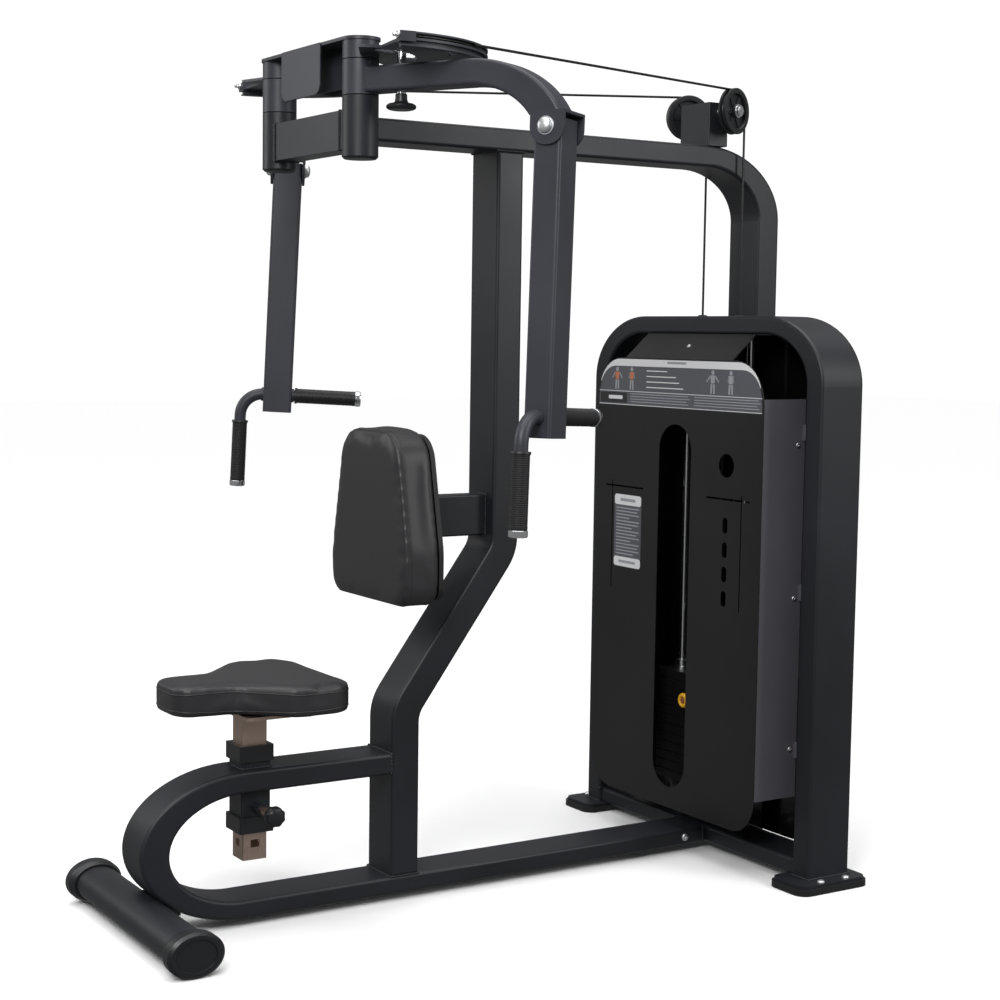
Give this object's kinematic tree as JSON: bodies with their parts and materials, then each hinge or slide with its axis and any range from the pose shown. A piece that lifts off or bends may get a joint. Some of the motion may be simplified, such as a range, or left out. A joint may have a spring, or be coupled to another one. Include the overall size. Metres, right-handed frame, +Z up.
{
  "type": "chest fly machine",
  "caption": "Seated chest fly and rear shoulder machine: two overhead swing arms with hanging handles, seat and back pads, and a cable-driven weight stack in an arched tower.",
  "frame": {"origin": "on the floor, under the middle of the outline box", "axes": "+X to the sitter's left, +Y from the front stabiliser towards the weight tower, +Z up"},
  "size_m": [1.422, 1.814, 1.987],
  "materials": {
    "frame_paint": "satin black powder coat",
    "arm_paint": "satin dark grey powder coat",
    "sheet_black": "smooth black powder coat",
    "sheet_grey": "grey powder coat",
    "panel_gloss": "gloss black",
    "chrome": "polished",
    "zinc": "dull plated",
    "iron": "black enamel",
    "plastic": "moulded",
    "knob_yellow": "moulded",
    "rubber": "matt",
    "hide": "fine grained leatherette",
    "board": "painted board",
    "cable": "black coated wire rope"
  },
  "bodies": {
    "frame": {"arch_frame": "frame_paint", "back_board": "board", "back_bracket": "frame_paint", "back_pad": "hide", "bridge_plate": "arm_paint", "cable_run_left": "cable", "cable_run_right": "cable", "cross_beam": "frame_paint", "foot_pad_left": "rubber", "foot_pad_right": "rubber", "foot_plate_left": "frame_paint", "foot_plate_right": "frame_paint", "front_cap_left": "plastic", "front_cap_right": "plastic", "front_tube": "frame_paint", "guide_rods": "chrome", "head_beam": "frame_paint", "head_cover": "arm_paint", "loop_frame": "frame_paint", "parked_plates": "iron", "pivot_left": "frame_paint", "pivot_right": "frame_paint", "pulley_axle_left": "chrome", "pulley_axle_right": "chrome", "pulley_bracket": "frame_paint", "rear_panel": "panel_gloss", "seat_bushes": "plastic", "seat_receiver": "frame_paint", "shroud_front": "sheet_black", "side_panel_left": "sheet_grey", "side_panel_right": "sheet_grey", "stack_feet": "rubber", "top_beam": "frame_paint", "upright": "frame_paint"},
    "cam_right": {"cam_right": "arm_paint", "cable_wrap_right": "cable"},
    "arm_right": {"arm_right": "arm_paint", "hinge_bolt_right": "chrome"},
    "bar_right": {"bar_right": "arm_paint", "grip_upright_right": "rubber", "grip_level_right": "rubber"},
    "arm_pin_right": {"pull_pin_right": "plastic"},
    "pulley_right": {"pulley_right": "plastic"},
    "cam_left": {"cam_left": "arm_paint", "cable_wrap_left": "cable"},
    "arm_left": {"arm_left": "arm_paint", "hinge_bolt_left": "chrome"},
    "bar_left": {"bar_left": "arm_paint", "grip_upright_left": "rubber", "grip_level_left": "rubber"},
    "arm_pin_left": {"pull_pin_left": "plastic"},
    "pulley_left": {"pulley_left": "plastic"},
    "stack": {"lifted_plates": "iron", "selector_rod": "chrome", "cable_drop_right": "cable", "cable_drop_left": "cable"},
    "selector_pin": {"selector_pin": "knob_yellow"},
    "seat": {"seat_post": "zinc", "seat_pad": "hide"},
    "seat_pin": {"seat_knob": "plastic"}
  },
  "joints": [
    {"name": "cam_right_turn", "type": "hinge", "parent": "frame", "child": "cam_right", "pos_m": [0.204, -0.412, 1.95], "axis": [0, 0, -1], "range_deg": [0, 105]},
    {"name": "arm_right_index", "type": "hinge", "parent": "cam_right", "child": "arm_right", "pos_m": [0.204, -0.412, 1.9], "axis": [0, 0, -1], "range_deg": [-30, 15]},
    {"name": "arm_right_pin_pull", "type": "slide", "parent": "arm_right", "child": "arm_pin_right", "axis": [0, 0, -1], "range_m": [0, 0.016], "stiffness_N_per_m": 700, "springref_m": -0.02},
    {"name": "bar_right_swing", "type": "hinge", "parent": "arm_right", "child": "bar_right", "pos_m": [0.63251, -0.18469, 1.773], "axis": [-0.4536, 0.8902, -0.0427], "range_deg": [-12, 12]},
    {"name": "pulley_right_spin", "type": "hinge", "parent": "frame", "child": "pulley_right", "pos_m": [0.0939, 0.7173, 1.926], "axis": [0.9439, 0.3302, 0], "range_deg": [0, 580]},
    {"name": "cam_left_turn", "type": "hinge", "parent": "frame", "child": "cam_left", "pos_m": [-0.204, -0.412, 1.95], "axis": [0, 0, 1], "range_deg": [0, 105]},
    {"name": "arm_left_index", "type": "hinge", "parent": "cam_left", "child": "arm_left", "pos_m": [-0.204, -0.412, 1.9], "axis": [0, 0, 1], "range_deg": [-30, 15]},
    {"name": "arm_left_pin_pull", "type": "slide", "parent": "arm_left", "child": "arm_pin_left", "axis": [0, 0, -1], "range_m": [0, 0.016], "stiffness_N_per_m": 700, "springref_m": -0.02},
    {"name": "bar_left_swing", "type": "hinge", "parent": "arm_left", "child": "bar_left", "pos_m": [-0.63251, -0.18469, 1.773], "axis": [0.4536, 0.8902, -0.0427], "range_deg": [-12, 12]},
    {"name": "pulley_left_spin", "type": "hinge", "parent": "frame", "child": "pulley_left", "pos_m": [-0.0939, 0.7173, 1.926], "axis": [0.9439, -0.3302, 0], "range_deg": [0, 580]},
    {"name": "stack_lift", "type": "slide", "parent": "frame", "child": "stack", "axis": [0, 0, 1], "range_m": [0, 0.5], "deforming": ["cable_drop_right", "cable_drop_left"]},
    {"name": "selector_pin_pull", "type": "slide", "parent": "stack", "child": "selector_pin", "axis": [0, -1, 0], "range_m": [0, 0.06]},
    {"name": "seat_height", "type": "slide", "parent": "frame", "child": "seat", "axis": [0, 0, 1], "range_m": [-0.06, 0.06]},
    {"name": "seat_pin_pull", "type": "slide", "parent": "frame", "child": "seat_pin", "axis": [1, 0, 0], "range_m": [0, 0.015], "stiffness_N_per_m": 700, "springref_m": -0.01}
  ],
  "couplings": [
    {"joint": "cam_left_turn", "follows": "cam_right_turn", "ratio": 1},
    {"joint": "stack_lift", "follows": "cam_right_turn", "m_per_rad": 0.269},
    {"joint": "pulley_right_spin", "follows": "cam_right_turn", "ratio": 5.0755},
    {"joint": "pulley_left_spin", "follows": "cam_right_turn", "ratio": 5.0755}
  ]
}
